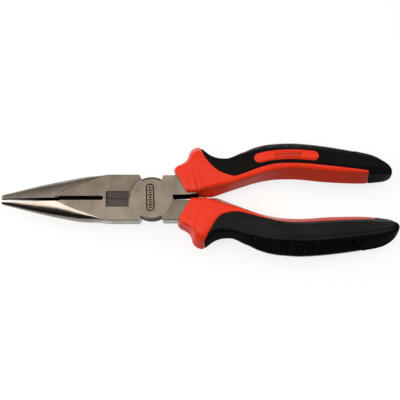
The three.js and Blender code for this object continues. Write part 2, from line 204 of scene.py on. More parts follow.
# Handle: outer edge x, y, inner edge x, y, half thickness, how far the outer and the inner side lean
# in on their way up to the face, rounding above the outer side.
GRIP = [
    (12.0, 13.4, 17.8, 3.0, 6.2, 1.0, 0.4, 0.5),
    (11.3, 14.9, 18.1, 2.3, 6.9, 1.6, 0.5, 0.8),
    (11.6, 16.5, 18.7, 2.1, 7.25, 2.0, 0.6, 1.0),
    (12.8, 17.8, 19.6, 2.0, 7.4, 2.2, 0.8, 1.2),
    (15.0, 18.9, 21.0, 1.9, 7.4, 2.4, 0.9, 1.2),
    (17.0, 20.2, 22.2, 1.8, 7.5, 2.6, 1.0, 1.4),
    (18.3, 21.9, 23.3, 1.7, 7.9, 3.0, 1.2, 2.0),
    (18.9, 23.7, 24.2, 1.5, 8.8, 3.6, 1.4, 3.5),
    (19.5, 25.3, 25.2, 1.3, 9.35, 4.3, 1.6, 5.0),
    (20.6, 26.6, 26.2, 1.25, 9.4, 4.5, 2.0, 5.5),
    (22.3, 27.6, 27.4, 1.2, 9.35, 4.5, 2.5, 5.5),
    (24.3, 27.9, 28.7, 1.15, 9.25, 4.4, 3.0, 5.5),
    (26.0, 27.1, 30.0, 1.05, 9.1, 4.2, 3.4, 5.0),
    (27.8, 25.6, 31.6, 1.35, 8.9, 3.8, 3.6, 4.0),
    (30.4, 23.7, 33.6, 2.0, 8.7, 3.2, 3.5, 3.0),
    (33.8, 22.4, 36.4, 3.0, 8.5, 2.8, 3.1, 2.5),
    (37.3, 22.0, 39.3, 4.0, 8.4, 2.5, 2.6, 2.0),
    (40.5, 22.4, 42.2, 5.0, 8.3, 2.5, 2.3, 2.0),
    (46.8, 25.2, 48.2, 7.0, 8.2, 2.9, 2.3, 1.8),
    (52.0, 27.6, 53.0, 8.5, 8.2, 3.6, 2.5, 1.5),
    (58.4, 29.4, 59.0, 9.85, 8.2, 4.3, 3.1, 1.5),
    (66, 30.2, 66, 10.6, 8.2, 4.6, 4.0, 1.5),
    (76, 30.25, 76, 10.5, 8.2, 4.8, 4.6, 1.5),
    (90.8, 28.6, 90, 9.1, 8.2, 4.6, 4.7, 1.5),
    (107, 25.7, 106, 8.4, 8.2, 4.2, 4.3, 1.6),
    (115.5, 23.5, 115.2, 8.9, 7.9, 4.0, 3.6, 2.5),
    (120.6, 20.3, 120.4, 9.7, 6.9, 3.6, 2.4, 3.0),
    (123.2, 17.0, 123.1, 11.2, 4.8, 1.8, 1.5, 1.5),
    (124, 14.8, 124, 12.9, 1.4, 0.3, 0.3, 0.2),
]
GRIP_HEIGHT = 8.2
INNER_ROUNDING = 1.7
INNER_SIDE_FROM = 22.0
FACE_CROWN = 0.3
HANDLE_CROWN = 0.35
HANDLE_CROWN_FROM = (34.0, 46.0)
BACK_LEAN = 0.45
BACK_LEAN_FROM = (40.0, 52.0)
GRIP_SPACING = 0.24
RAIL_SPACING = 1.2
# The most that a side's lean or a bend may take of a section's free width, and of a side's length.
MOST_LEAN = 0.27
MOST_BACK_LEAN = 0.3375
MOST_BEND = 0.18
MOST_ROUNDING = 0.85

COVER_EDGE_FRONT = [
    (COVER_START_X, 24.6), (28.4, 18.8), (33.9, 13.4), (40, 10.9), (44, 10.8), (55.3, 14.9),
    (64.5, 17.1), (76.8, 17.2), (89, 16.1), (CAP_START_X, 13.4),
]
COVER_EDGE_BACK = [
    (COVER_START_X, 24.6), (28.5, 18), (31.6, 13), (35.2, 10.6), (41.2, 9.5), (47.2, 10.4),
    (56, 12.3), (68, 13.3), (80, 12.5), (CAP_START_X, 10.0),
]
# Grooves and the badge's edge: how deep or high, and how far they spread.
SEAM = (0.3, 0.4)
BADGE_SEAT = (0.25, 0.35)
BADGE_RISE = 0.3
BADGE_EDGE = (0.45, 0.5)
BADGE_LINE = [(55.1, 19.8), (61, 21.1), (69, 21.8), (76, 21.7), (82.8, 21.1)]
BADGE_RADIUS = 2.6
BADGE_CLEARANCE = 0.03
BADGE_BED = 1.1
BED_GAP = 0.1
# The badge and its seat are on the front face only, which is all above this height.
BADGE_FACE = 5.0

# The badge's marks: bars of two heights between two thin lines.
MARK_COUNT = 13
MARK_HALF = 0.25
MARK_HEIGHTS = (0.55, 0.85)
MARK_LINE_Y = 1.45
MARK_LINE_HALF = 0.15
MARKS_X = (64.0, 76.0)
MARKS_FLOOR = 8.83


# ---- mesh tools ----------------------------------------------------------------------------------
def mesh_object(name, points, faces):
    mesh = bpy.data.meshes.new(name)
    mesh.from_pydata([tuple(p) for p in points], [], faces)
    mesh.validate()
    made = bpy.data.objects.new(name, mesh)
    bpy.context.scene.collection.objects.link(made)
    return made


def loft(name, rings):
    """A closed solid through rings, an array of rings by points by three."""
    rings = np.asarray(rings, float)
    count, around, _ = rings.shape
    faces = []
    for start in range(0, (count - 1) * around, around):
        for i in range(around):
            j = (i + 1) % around
            faces.append((start + i, start + j, start + around + j, start + around + i))
    faces.append(tuple(range(around))[::-1])
    faces.append(tuple(range((count - 1) * around, count * around)))
    return outward(mesh_object(name, rings.reshape(-1, 3), faces))


def outward(made):
    """Turns a closed mesh's faces so that they point out."""
    work = bmesh.new()
    work.from_mesh(made.data)
    bmesh.ops.recalc_face_normals(work, faces=work.faces)
    if work.calc_volume(signed=True) < 0:
        bmesh.ops.reverse_faces(work, faces=work.faces)
    work.to_mesh(made.data)
    work.free()
    return made


def prism(name, outline, bottom, top):
    """A closed solid over an xy outline between two heights."""
    rings = [[(x, y, z) for x, y in outline] for z in (bottom, top)]
    return loft(name, rings)


def lathe(name, profile, segments=96):
    """A closed solid turned about Z from (radius, z) pairs, with a flat end at each end of them."""
    angles = [2 * math.pi * i / segments for i in range(segments)]
    return loft(name, [[(r * math.cos(a), r * math.sin(a), z) for a in angles] for r, z in profile])


def combine(made, other, operation):
    """Joins, cuts or intersects made with other, which is used up."""
    modifier = made.modifiers.new("combine", "BOOLEAN")
    modifier.object = other
    modifier.operation = operation
    modifier.solver = "MANIFOLD"
    bpy.context.view_layer.update()
    evaluated = made.evaluated_get(bpy.context.evaluated_depsgraph_get())
    mesh = bpy.data.meshes.new_from_object(evaluated)
    made.modifiers.clear()
    made.data = mesh
    bpy.data.objects.remove(other)
    return made


def cut(made, other):
    return combine(made, other, "DIFFERENCE")


def join(made, other):
    return combine(made, other, "UNION")


def common(made, other):
    return combine(made, other, "INTERSECT")


def catmull(rows, places):
    """Smooth rows of numbers at fractional places along the given rows."""
    rows = np.asarray(rows, float)
    k = np.clip(np.floor(places).astype(int), 0, len(rows) - 2)
    t = (places - k)[:, None]
    a, b, c, d = (rows[np.clip(k + offset, 0, len(rows) - 1)] for offset in (-1, 0, 1, 2))
    square, cube = 2 * a - 5 * b + 4 * c - d, 3 * b - a - 3 * c + d
    return 0.5 * (2 * b + (c - a) * t + square * t**2 + cube * t**3)


def smooth_step(low, high, value):
    """0 below low, 1 above high and a smooth way between them."""
    t = np.clip((value - low) / (high - low), 0, 1)
    return t * t * (3 - 2 * t)


def even_places(rows, spacing):
    """Places along smooth rows about spacing apart on the first two columns."""
    fine = np.linspace(0, len(rows) - 1, 4000)
    path = catmull(rows, fine)[:, :2]
    length = np.concatenate([[0], np.cumsum(np.linalg.norm(np.diff(path, axis=0), axis=1))])
    return np.interp(np.arange(0, length[-1], spacing).tolist() + [length[-1]], length, fine)


def line_distance(points, line):
    """Distance of each xy point to a polyline."""
    best = np.full(len(points), 1e9)
    for start, end in zip(line[:-1], line[1:]):
        along = end - start
        t = np.clip(((points - start) @ along) / (along @ along), 0, 1)
        best = np.minimum(best, np.linalg.norm(points - start - t[:, None] * along, axis=1))
    return best


# ---- placing -------------------------------------------------------------------------------------
SHARP_EDGE = math.radians(32)


def lower_seat():
    """How the lower handle is moved on its tang."""
    about = Matrix.Translation(SEAT_ABOUT)
    return Matrix.Translation((SLIDE, 0, 0)) @ about @ Matrix.Rotation(TURN, 4, "Z") @ about.inverted()


def place(piece, node, body, materials, paint, turned=False, seated=False):
    """Puts a finished piece, painted by face, into the frame in place of its CAD node.

    A turned piece is turned over onto the back lever, and a seated one sits as the lower handle does.
    """
    chosen = paint(*face_facts(piece.data))
    matrix = Matrix.Translation((0, 0, MIDDLE_Z))
    if turned:
        matrix = matrix @ Matrix.Rotation(math.pi, 4, "X")
    if seated:
        matrix = matrix @ lower_seat()
    piece.data.transform(Matrix.Scale(0.001, 4) @ matrix)
    piece.data.materials.clear()
    for material in materials:
        piece.data.materials.append(material)
    piece.data.polygons.foreach_set("material_index", chosen.astype(np.int32))
    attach(piece, body)
    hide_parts(node)


def face_facts(mesh):
    """The centre and the normal of every face."""
    centres = np.empty(3 * len(mesh.polygons))
    normals = np.empty(3 * len(mesh.polygons))
    mesh.polygons.foreach_get("center", centres)
    mesh.polygons.foreach_get("normal", normals)
    return centres.reshape(-1, 3), normals.reshape(-1, 3)


def soften(piece):
    """Smooth shading that keeps the edges sharper than SHARP_EDGE and lets large faces stay flat."""
    piece.data.shade_smooth()
    piece.data.set_sharp_from_angle(angle=SHARP_EDGE)
    modifier = piece.modifiers.new("normals", "WEIGHTED_NORMAL")
    modifier.keep_sharp = True
    modifier.weight = 80
    return piece


# ---- levers --------------------------------------------------------------------------------------
# The steels that a lever's faces show, as places in the list that each lever has of them.
GROUND_PAINT, POLISHED_PAINT, RECESS_PAINT, WALL_PAINT = range(4)
DEEP_SHADE_PAINT, LIT_NOTCH_PAINT, CREST_PAINT, CREASE_REFLECTION_PAINT = range(4, 8)
# Where the polished nose and the lighter crests end along X, and how far from the bite the crests and
# the painted shade on the sides of the teeth reach, and from the middle the painted shade on the sides
# of the slot between the tangs.
POLISHED_TO = CHAMFERED_FROM[0] + 4
TOOTHED_TO = -49.5
CREST_REACH = 1.05
TEETH_REACH = 2.7
SLOT_REACH = 3.4


def jaw_section(row, shift):
    """The rounded side of one jaw section, from the front face round to the back face, as (y, z)."""
    x, width, flat, thickness, square = row
    width += shift * (1 - smooth_step(*NOSE_SHIFT_FADES, x))
    count, corner = 65, 10
    start = math.pi / 2 - CREASE_ANGLE
    angles = np.linspace(start, -start, count)
    out = np.abs(np.cos(angles)) ** (2 / square)
    up = np.sign(np.sin(angles)) * np.abs(np.sin(angles)) ** (2 / square)
    y = flat + (width - flat) * (out - out[0]) / (1 - out[0])
    z = thickness * up / up[0]
    chamfer = [(width - EDGE_BREAK, thickness), (width, thickness - EDGE_BREAK)]
    chamfer += [(a, -b) for a, b in chamfer[::-1]]
    places = np.interp(np.arange(count), [0, corner, count - 1 - corner, count - 1], range(4))
    flat_y = np.interp(places, range(4), [p[0] for p in chamfer])
    flat_z = np.interp(places, range(4), [p[1] for p in chamfer])
    blend = smooth_step(*CHAMFERED_FROM, x)
    return list(zip(y * (1 - blend) + flat_y * blend, z * (1 - blend) + flat_z * blend))


def jaw_solid(shift):
    """One jaw from tip to joint, still without teeth, whose nose is wider by shift."""
    rings = []
    for row in catmull(JAW, even_places(JAW, JAW_SPACING)):
        x, thickness = row[0], row[3]
        side = [(x, -y, z) for y, z in jaw_section(row, shift)]
        rings.append([(x, JAW_OVERLAP, thickness)] + side + [(x, JAW_OVERLAP, -thickness)])
    return loft("jaw", rings)


def above_bite(side):
    """Everything beyond one jaw's toothed and relieved bite line."""
    first = TIP_X + TOOTH_START
    near_tip, near_slot, depth = TEETH[side]
    crest_end, valley_start, valley_end = TOOTH_FORM
    line = [(TIP_X - CLEAR, -near_tip), (TIP_X + TIP_LAND, -near_tip)]
    for tooth in range(TOOTH_COUNT):
        x = first + tooth * TOOTH_PITCH
        share = tooth / TOOTH_COUNT
        crest = -near_tip + (near_tip - near_slot) * share
        valley = crest - depth * (FIRST_DEPTH + (1 - FIRST_DEPTH) * min(1, 4 * share))
        line += [(x, crest), (x + crest_end * TOOTH_PITCH, crest)]
        line += [(x + valley_start * TOOTH_PITCH, valley), (x + valley_end * TOOTH_PITCH, valley)]
    line.append((first + TOOTH_COUNT * TOOTH_PITCH, -RELIEF_HALF))
    line += [(RELIEF_END - short, -share * RELIEF_HALF) for short, share in RELIEF_ROUNDING]
    line += [(RELIEF_END, -BITE_GAP), (CUTTER_START, -BITE_GAP), (CUTTER_START, -CUTTING_EDGE)]
    line += [(CUTTER_END, -CUTTING_EDGE), (CUTTER_END, -BITE_GAP), (0.0, -BITE_GAP)]
    line += [(0.0, 2 * JAW_OVERLAP), (TIP_X - CLEAR, 2 * JAW_OVERLAP)]
    return prism("bite", [(x, y + side * BITE_Y) for x, y in line], -HALF - CLEAR, HALF + CLEAR)


def cutter_pocket(bite, bevel, edge_z):
    """What is ground away in front of and behind one cutting edge, which lies at edge_z."""
    reach = HALF + CLEAR
    far, near = bite - bevel, bite - CUTTING_EDGE
    edge_half, land_half = CUTTER_HALVES
    front_rim, back_rim = CUTTER_RIMS
    section = [
        (CLEAR, -reach), (CLEAR, reach), (far, reach), (far, HALF - front_rim),
        (near - CUTTER_LAND, edge_z + land_half), (near, edge_z + edge_half), (near, edge_z - edge_half),
        (far, back_rim - HALF), (far, -reach),
    ]
    return loft("pocket", [[(x, y, z) for y, z in section] for x in (CUTTER_START, CUTTER_END)])


def below_shoulder():
    """The space behind one jaw's shoulder, where the other lever's tang swings."""
    reach = 2 * HEAD_HALF_WIDTH
    corner = (-reach * math.cos(SHOULDER_ANGLE), -reach * math.sin(SHOULDER_ANGLE))
    outline = [(0, 0), corner, (reach, -reach), (reach, 0)]
    return prism("shoulder", outline, -HALF - CLEAR, HALF + CLEAR)


def chamfered_plate(name, outline, half, chamfer):
    """A plate whose rims are chamfered, from an outline that goes round anticlockwise."""
    points = np.array(outline, float)
    before = points - np.roll(points, 1, axis=0)
    after = np.roll(points, -1, axis=0) - points
    before /= np.linalg.norm(before, axis=1)[:, None]
    after /= np.linalg.norm(after, axis=1)[:, None]
    inward = np.stack([-(before + after)[:, 1], (before + after)[:, 0]], axis=1)
    inward /= np.linalg.norm(inward, axis=1)[:, None]
    half_turn = np.clip(np.sqrt((1 + (before * after).sum(axis=1)) / 2), 0.4, 1)
    small = points + inward * (chamfer / half_turn)[:, None]
    levels = ((small, -half), (points, chamfer - half), (points, half - chamfer), (small, half))
    return loft(name, [[(x, y, z) for x, y in ring] for ring, z in levels])


def tang_solid():
    """The flat tang, with the shoulder beside the joint as one of its sides."""
    across, along = math.cos(SHOULDER_ANGLE), math.sin(SHOULDER_ANGLE)
    outline = TANG + [(TANG_EDGE * across / along, TANG_EDGE), (TANG_ROOT * across, TANG_ROOT * along)]
    return chamfered_plate("tang", outline, HALF, EDGE_BREAK)


def ring_chamfer(chamfer, turned):
    """What is ground off the rim of the joint disc where one of the two notches shows it."""
    inner, outer = JOINT_RADIUS - chamfer - CLEAR / 2, JOINT_RADIUS + CLEAR
    top, low = HALF + CLEAR / 2, HALF - chamfer - CLEAR
    section = [(inner, top), (outer, top), (outer, low)]
    start = SHOULDER_ANGLE - NOTCH_MARGIN
    angles = math.pi * turned + np.linspace(start, math.pi - start, 161)
    rings = [[(r * math.cos(a), r * math.sin(a), z) for r, z in section] for a in angles]
    return loft("chamfer", rings)


def rivet_solid(grow):
    """The rivet, countersunk at both ends, or the hole for it, which is larger all round."""
    cone = HALF - RIVET_SINK
    head, shank = RIVET_HEAD + grow, RIVET_SHANK + grow
    return lathe("rivet", [(head, -HALF - grow), (shank, -cone), (shank, cone), (head, HALF + grow)])


def in_stamp(z):
    return (z > HALF - STAMP_DEPTH - 0.05) & (z < HALF - 0.01)


def rivet_paint(centre, normal):
    # The stamp's lines on the rivet are painted near black: painted shade.
    return np.where(in_stamp(centre[:, 2]), DEEP_SHADE_PAINT, GROUND_PAINT)


def stadium(half_length, radius, steps=24):
    """A slot shape with round ends along Y."""
    points = []
    for end, start in ((half_length - radius, 0), (radius - half_length, math.pi)):
        for angle in np.linspace(start, start + math.pi, steps + 1):
            points.append((radius * math.cos(angle), end + radius * math.sin(angle)))
    return points


def rectangle(x, y, half_width, half_height):
    left, right, low, high = x - half_width, x + half_width, y - half_height, y + half_height
    return [(left, low), (right, low), (right, high), (left, high)]


def stamp_solid():
    """The sunk frame on the joint's front face, with plain bars and dots inside."""
    low, high = HALF - STAMP_DEPTH, HALF + CLEAR
    stamp = prism("stamp", stadium(STAMP_HALF_LENGTH, STAMP_RADIUS), low, high)
    inner = stadium(STAMP_HALF_LENGTH - STAMP_LINE, STAMP_RADIUS - STAMP_LINE)
    stamp = cut(stamp, prism("inside", inner, low - CLEAR, high + CLEAR))
    for k in range(-4, 5):
        mark = rectangle(0, STAMP_PITCH * k, *(STAMP_BAR if k % 2 else STAMP_DOT))
        stamp = join(stamp, prism("mark", mark, low, high))
    stamp.data.transform(Matrix.Rotation(STAMP_LEAN, 4, "Z"))
    stamp.data.transform(Matrix.Translation((*STAMP_CENTRE, 0)))
    return stamp


def lever_paint(side):
    """Which of the steels each face of a lever shows."""
    bite = side * BITE_Y

    def paint(centre, normal):
        x, y, z = centre.T
        across, up = normal[:, 1], np.abs(normal[:, 2])
        steep = up < 0.5
        radius = np.hypot(x, y)
        paints = np.full(len(x), GROUND_PAINT)
        paints[steep & (x > CHAMFERED_FROM[1])] = WALL_PAINT
        paints[(x < POLISHED_TO) & (across < -0.02) & (up < 0.999)] = POLISHED_PAINT
        if side < 0:
            # The crests along the upper jaw's bite are painted a lighter steel.
            paints[(x < TOOTHED_TO) & (y > bite - CREST_REACH) & ~steep] = CREST_PAINT
            # A painted dark reflection along the crease of the upper jaw's nose.
            past_flat = -y - np.interp(x, [row[0] for row in JAW], [row[2] for row in JAW])
            line = CREASE_LINE * smooth_step(*CREASE_FROM, x) * (1 - smooth_step(*CREASE_TO, x))
            crease = (past_flat > -0.1) & (past_flat < line)
            paints[crease & (across < -0.02) & (up > 0.8)] = CREASE_REFLECTION_PAINT
        in_cutter = (x > CUTTER_START) & (x < CUTTER_END)
        teeth = steep & (y > bite - TEETH_REACH) & (across > -0.3) & ~in_cutter
        teeth &= x < -JOINT_RADIUS - RUNNING_GAP
        land = in_cutter & (y > bite - CUTTING_EDGE - CUTTER_LAND)
        pocket = (x > CUTTER_START - 0.1) & (x < CUTTER_END + 0.1) & (y > bite - CUTTER_BELOW - 0.05)
        pocket &= np.abs(z) < HALF - 0.02
        in_notch = (np.abs(y) > 1.5 * np.abs(x)) & (z > 0)
        joint = steep & (np.abs(radius - JOINT_RADIUS) < 2 * RUNNING_GAP) & ~in_notch
        notch = in_notch & (up < 0.95) & (radius > JOINT_RADIUS - NOTCH_CHAMFER[0] - 0.1)
        notch &= radius < JOINT_RADIUS + 0.02
        slot = (x > JOINT_RADIUS - CLEAR) & (y < SLOT_REACH) & (across < -0.5)
        stamp = in_stamp(z) & (radius < STAMP_HALF_LENGTH + 0.5)
        paints[pocket | notch] = RECESS_PAINT
        # The lower notch, whose rim faces down away from the light, is painted lighter: painted light.
        paints[notch & (y < 0)] = LIT_NOTCH_PAINT
        # The sides of the teeth and the slot, the gap round the joint, the stamp and the cutter's land
        # are painted near black: painted shade.
        paints[teeth | joint | slot | stamp | land] = DEEP_SHADE_PAINT
        return paints

    return paint


def lever_solid(name, side):
    """One lever: side is 1 for the front lever and -1 for the back one, which is turned over later."""
    bevel = CUTTER_BELOW if side > 0 else CUTTER_ABOVE
    jaw = cut(cut(jaw_solid(side * NOSE_SHIFT), below_shoulder()), above_bite(side))
    jaw = cut(jaw, cutter_pocket(side * BITE_Y, bevel, side * CUTTER_EDGE_Z))
    lever = join(jaw, tang_solid())
    gap = RUNNING_GAP / 2
    socket_radius = JOINT_RADIUS + RUNNING_GAP
    socket = lathe("socket", [(socket_radius, -HALF - CLEAR), (socket_radius, gap)], 256)
    socket.data.transform(Matrix.Translation(SOCKET_SHIFT))
    lever = join(cut(lever, socket), lathe("disc", [(JOINT_RADIUS, gap), (JOINT_RADIUS, HALF)], 256))
    for turned, chamfer in NOTCH_CHAMFER.items():
        lever = cut(lever, ring_chamfer(chamfer, turned))
    lever.name = name
    if side > 0:
        lever = cut(lever, stamp_solid())
    return cut(lever, rivet_solid(RIVET_CLEARANCE))


# ---- handles -------------------------------------------------------------------------------------
# Rows on a side: shares of the way up its wall, then shares of the bend into the face.
WALL = np.array([0, 0.02, 0.045, 0.08, 0.14, 0.22, 0.32, 0.44, 0.56, 0.68, 0.8, 0.9, 1.0])
BEND = np.linspace(0, 1, 9)[1:]
AROUND_SIDE = 2 * (len(WALL) + len(BEND)) - 1
AROUND_FACE = 46
# What a cover's faces show, as places in its list of blacks, and what a red piece's faces show.
FACE_PAINT, GROOVE_PAINT, RIB_PAINT, SIDE_PAINT = range(4)
# The shaded paint is the painted shade on a core's inner side, and the darker red of a badge's pressed
# marks.
PLAIN_PAINT, SHADED_PAINT = range(2)


def side_profile(slope, height, rounding):
    """Half of a side, from the middle plane up to the face, as (inward, z) for each row."""
    length = np.hypot(slope, height)
    rounding = np.minimum(rounding, MOST_ROUNDING * length)
    start = 1 - rounding / length
    wall = start[:, None] * WALL[None, :]
    t = BEND[None, :]
    bend_in = ((1 - t) ** 2 * start[:, None] + 2 * t * (1 - t)) * slope[:, None]
    bend_in = bend_in + t**2 * (slope + rounding)[:, None]
    bend_z = ((1 - t) ** 2 * start[:, None] + 2 * t * (1 - t) + t**2) * height[:, None]
    inward = np.concatenate([wall * slope[:, None], bend_in], axis=1)
    z = np.concatenate([wall * height[:, None], bend_z], axis=1)
    return inward, z


def both_halves(front, back):
    """A whole side, from the back face round to the front face."""
    inward = np.concatenate([back[0][:, :0:-1], front[0]], axis=1)
    return inward, np.concatenate([-back[1][:, :0:-1], front[1]], axis=1)


def section_points(rows, side, face):
    """Section rings of the handle, drawn in by side and face, an array of rings by points by three."""
    outer, inner = rows[:, 0:2], rows[:, 2:4]
    half, outer_lean, inner_lean, outer_bend = rows[:, 4:8].T
    width = np.linalg.norm(inner - outer, axis=1)
    along = (inner - outer) / width[:, None]
    height = np.maximum(half - face, 0.3)
    room = width - 2 * side
    back_lean = outer_lean * (1 + BACK_LEAN * smooth_step(*BACK_LEAN_FROM, rows[:, 0]))
    outer_slope = np.minimum(outer_lean, room * MOST_LEAN)
    back_slope = np.minimum(back_lean, room * MOST_BACK_LEAN)
    inner_slope = np.minimum(inner_lean, room * MOST_LEAN)
    outer_bend = np.minimum(outer_bend, room * MOST_BEND)
    inner_bend = np.minimum(INNER_ROUNDING, room * MOST_BEND)
    inner_side = side_profile(inner_slope, height, inner_bend)
    outer_in, outer_z = both_halves(
        side_profile(outer_slope, height, outer_bend), side_profile(back_slope, height, outer_bend)
    )
    inner_in, inner_z = both_halves(inner_side, inner_side)
    outer_in, inner_in = side + outer_in, (width - side)[:, None] - inner_in
    across = np.linspace(0, 1, AROUND_FACE + 2)[None, 1:-1]
    rise = FACE_CROWN + HANDLE_CROWN * smooth_step(*HANDLE_CROWN_FROM, rows[:, 0])
    rise = (rise * np.minimum(1, half / GRIP_HEIGHT))[:, None]
    crown = rise * 4 * across * (1 - across)
    front = outer_in[:, -1:] + (inner_in[:, -1:] - outer_in[:, -1:]) * across
    back = inner_in[:, :1] + (outer_in[:, :1] - inner_in[:, :1]) * across
    inward = np.concatenate([outer_in, front, inner_in[:, ::-1], back], axis=1)
    face_z = height[:, None] + crown
    z = np.concatenate([outer_z, face_z, inner_z[:, ::-1], -face_z], axis=1)
    xy = outer[:, None, :] + along[:, None, :] * inward[:, :, None]
    return np.concatenate([xy, z[:, :, None]], axis=2)


def surface_normals(rings):
    """The outward normal at every point of the rings."""
    down = np.gradient(rings, axis=0)
    ahead = np.roll(rings, -1, axis=1) - np.roll(rings, 1, axis=1)
    normal = np.cross(down, ahead)
    normal /= np.maximum(np.linalg.norm(normal, axis=2, keepdims=True), 1e-9)
    centre = rings.mean(axis=1, keepdims=True)
    flip = np.sign(((rings - centre) * normal).sum(axis=2).mean())
    return normal * flip


def edge_line(edge):
    """The cover's edge on one face, from beyond its outer end to beyond the end cap's inner side."""
    curve = catmull(edge, np.linspace(0, len(edge) - 1, 70))
    return np.concatenate([[(COVER_START_X, ABOVE_ALL * 2)], curve, [(CAP_START_X, BELOW_HANDLE)]])


FRONT_EDGE = edge_line(COVER_EDGE_FRONT)
BACK_EDGE = edge_line(COVER_EDGE_BACK)


def cover_region(name, grow):
    """The outside of the cover's edge line on each face, and all of the end cap."""
    far = 3 * ABOVE_ALL
    start, cap, end = COVER_START_X - grow, CAP_START_X - grow, 2 * CAP_START_X
    halves = []
    for line, low, high in ((FRONT_EDGE, 0.0, far), (BACK_EDGE, -far, 0.001)):
        outline = [(start, line[0][1]), (line[1][0] - grow, line[1][1])]
        outline += [(x, y - grow) for x, y in line[2:-2]]
        outline += [(cap, line[-2][1] - grow), (cap, BELOW_HANDLE)]
        outline += [(end, BELOW_HANDLE), (end, far), (start, far)]
        halves.append(prism(name, outline, low, high))
    region = join(*halves)
    for vertex in region.data.vertices:
        if vertex.co.x > CAP_START_X - CLEAR:
            vertex.co.x -= CAP_LEAN * vertex.co.z
    return region


def badge_centre(t):
    """Points of the badge's centre line at shares t of its length."""
    return catmull(BADGE_LINE, np.asarray(t, float) * (len(BADGE_LINE) - 1))


def badge_outline(radius):
    """The badge's edge: its centre line moved out to both sides, with round ends."""
    line = badge_centre(np.linspace(0, 1, 33))
    heading = np.gradient(line, axis=0)
    heading /= np.linalg.norm(heading, axis=1)[:, None]
    left = np.stack([-heading[:, 1], heading[:, 0]], axis=1)
    points = []
    for way, side in ((1, line + left * radius), (-1, (line - left * radius)[::-1])):
        points += [tuple(p) for p in side]
        (x, y), (along, rise) = line[::way][-1], heading[::way][-1]
        for k in range(1, 16):
            angle = math.atan2(rise, along) + way * math.pi / 2 - math.pi * k / 16
            points.append((x + radius * math.cos(angle), y + radius * math.sin(angle)))
    return points


def grip_rows():
    return catmull(GRIP, even_places(GRIP, GRIP_SPACING))


def grip_surface(name, relief):
    """The handle's outer solid with relief, a function of the rows and the rings."""
    rows = grip_rows()
    rings = section_points(rows, 0, 0)
    rings = rings + surface_normals(rings) * relief(rows, rings)[:, :, None]
    return loft(name, rings)


def fade(height, spread, distance):
    """A height that fades away from a line in a bell curve."""
    return height * np.exp(-((distance / spread) ** 2))


def seam_groove(rings):
    """A shallow rounded groove along the line where hard and soft plastic meet."""
    flat = rings.reshape(-1, 3)
    front, back = (line_distance(flat[:, :2], edge) for edge in (FRONT_EDGE, BACK_EDGE))
    return -fade(*SEAM, np.where(flat[:, 2] >= 0, front, back).reshape(rings.shape[:2]))


def rib_wave(rows):
    """0 on the ribs and off the ribbed part, 1 in the grooves."""
    length = np.concatenate([[0], np.cumsum(np.linalg.norm(np.diff(rows[:, :2], axis=0), axis=1))])
    wave = 0.5 - 0.5 * np.cos(2 * math.pi * length / RIB_PITCH)
    start, end = RIB_ZONE
    begun = smooth_step(start - RIB_START_STEP, start, rows[:, 0])
    return wave * begun * (1 - smooth_step(end, end + RIB_END_STEP, rows[:, 0]))


def ribs(rows, rings):
    """Fine ribs across the outer side of the soft cover."""
    band = 1 - smooth_step(*RIB_BAND, np.abs(rings[:, :, 2]))
    band[:, AROUND_SIDE:] = 0
    return -RIB_DEPTH * rib_wave(rows)[:, None] * band


def cover_paint(centre, normal):
    """Which of the blacks each face of a cover shows: the side has ribs with painted shade in the
    grooves.
    """
    rows = grip_rows()
    wave, rows = rib_wave(rows)[rows[:, 0] > PAST_GUARD_X], rows[rows[:, 0] > PAST_GUARD_X]
    x, y, z = centre.T
    outer_edge = np.interp(x, rows[:, 0], rows[:, 1])
    side = (np.abs(normal[:, 2]) < 0.93) & ((y > outer_edge - SIDE_DEPTH) | (x < PAST_GUARD_X))
    ribbed = side & (x > RIB_ZONE[0]) & (x < RIB_ZONE[1]) & (np.abs(z) < RIB_BAND[1])
    rib_or_groove = np.where(np.interp(x, rows[:, 0], wave) > 0.45, GROOVE_PAINT, RIB_PAINT)
    return np.where(ribbed, rib_or_groove, np.where(side, SIDE_PAINT, FACE_PAINT))


def badge_distance(points):
    return line_distance(points[:, :2], badge_centre(np.linspace(0, 1, 25)))


def badge_seat(rings):
    """The groove round the badge, on the front face only."""
    flat = rings.reshape(-1, 3)
    depth = fade(*BADGE_SEAT, badge_distance(flat) - BADGE_RADIUS)
    return -np.where(flat[:, 2] > BADGE_FACE, depth, 0).reshape(rings.shape[:2])


def rail_solid(name, side, face):
    """The part of the core that the cover wraps: the handle drawn in by side and face."""
    rows = catmull(GRIP, even_places(GRIP, RAIL_SPACING))
    rows = rows[rows[:, 0] < GRIP[-1][0] - side - CLEAR]
    return loft(name, section_points(rows, side, face))


def tang_hole(lower):
    """The room for the tang, which is as thick as the lever, in the handle's own place."""
    start, top = -2 * CLEAR, TANG_EDGE + TANG_CLEARANCE
    side = [(x, y - TANG_CLEARANCE) for x, y in TANG_SIDE]
    outline = [(start, TANG[0][1] - TANG_CLEARANCE), *side, (side[-1][0], top), (start, top)]
    hole = prism("hole", outline, -HALF, HALF)
    if lower:
        hole.data.transform(lower_seat().inverted())
    return hole


def tang_window():
    """The opening that leaves the tang bare on its inner side, just inside the collar."""
    window = prism("window", stadium(WINDOW_REACH, HALF - WINDOW_RIM), *WINDOW_DEPTH)
    window.data.transform(Matrix.Rotation(math.pi / 2, 4, "Z"))
    window.data.transform(Matrix.Rotation(math.pi / 2, 4, "X"))
    window.data.transform(Matrix.Translation((WINDOW_END - WINDOW_REACH, 0, 0)))
    return window


def core_solid(name, lower):
    """The hard plastic: the bare part of the handle, with the seam's groove, and the rail."""
    core = grip_surface(name, lambda rows, rings: seam_groove(rings))
    core = cut(core, cover_region("region", PART_LINE))
    core = join(core, rail_solid("rail", COVER_SIDE, COVER_FACE))
    return cut(cut(core, tang_hole(lower)), tang_window())


def core_paint(centre, normal):
    """The side that faces the other handle is painted darker, as shade, from the collar's end on."""
    inner = (normal[:, 1] < -0.3) & (np.abs(normal[:, 2]) < 0.78) & (centre[:, 0] > INNER_SIDE_FROM)
    return np.where(inner, SHADED_PAINT, PLAIN_PAINT)


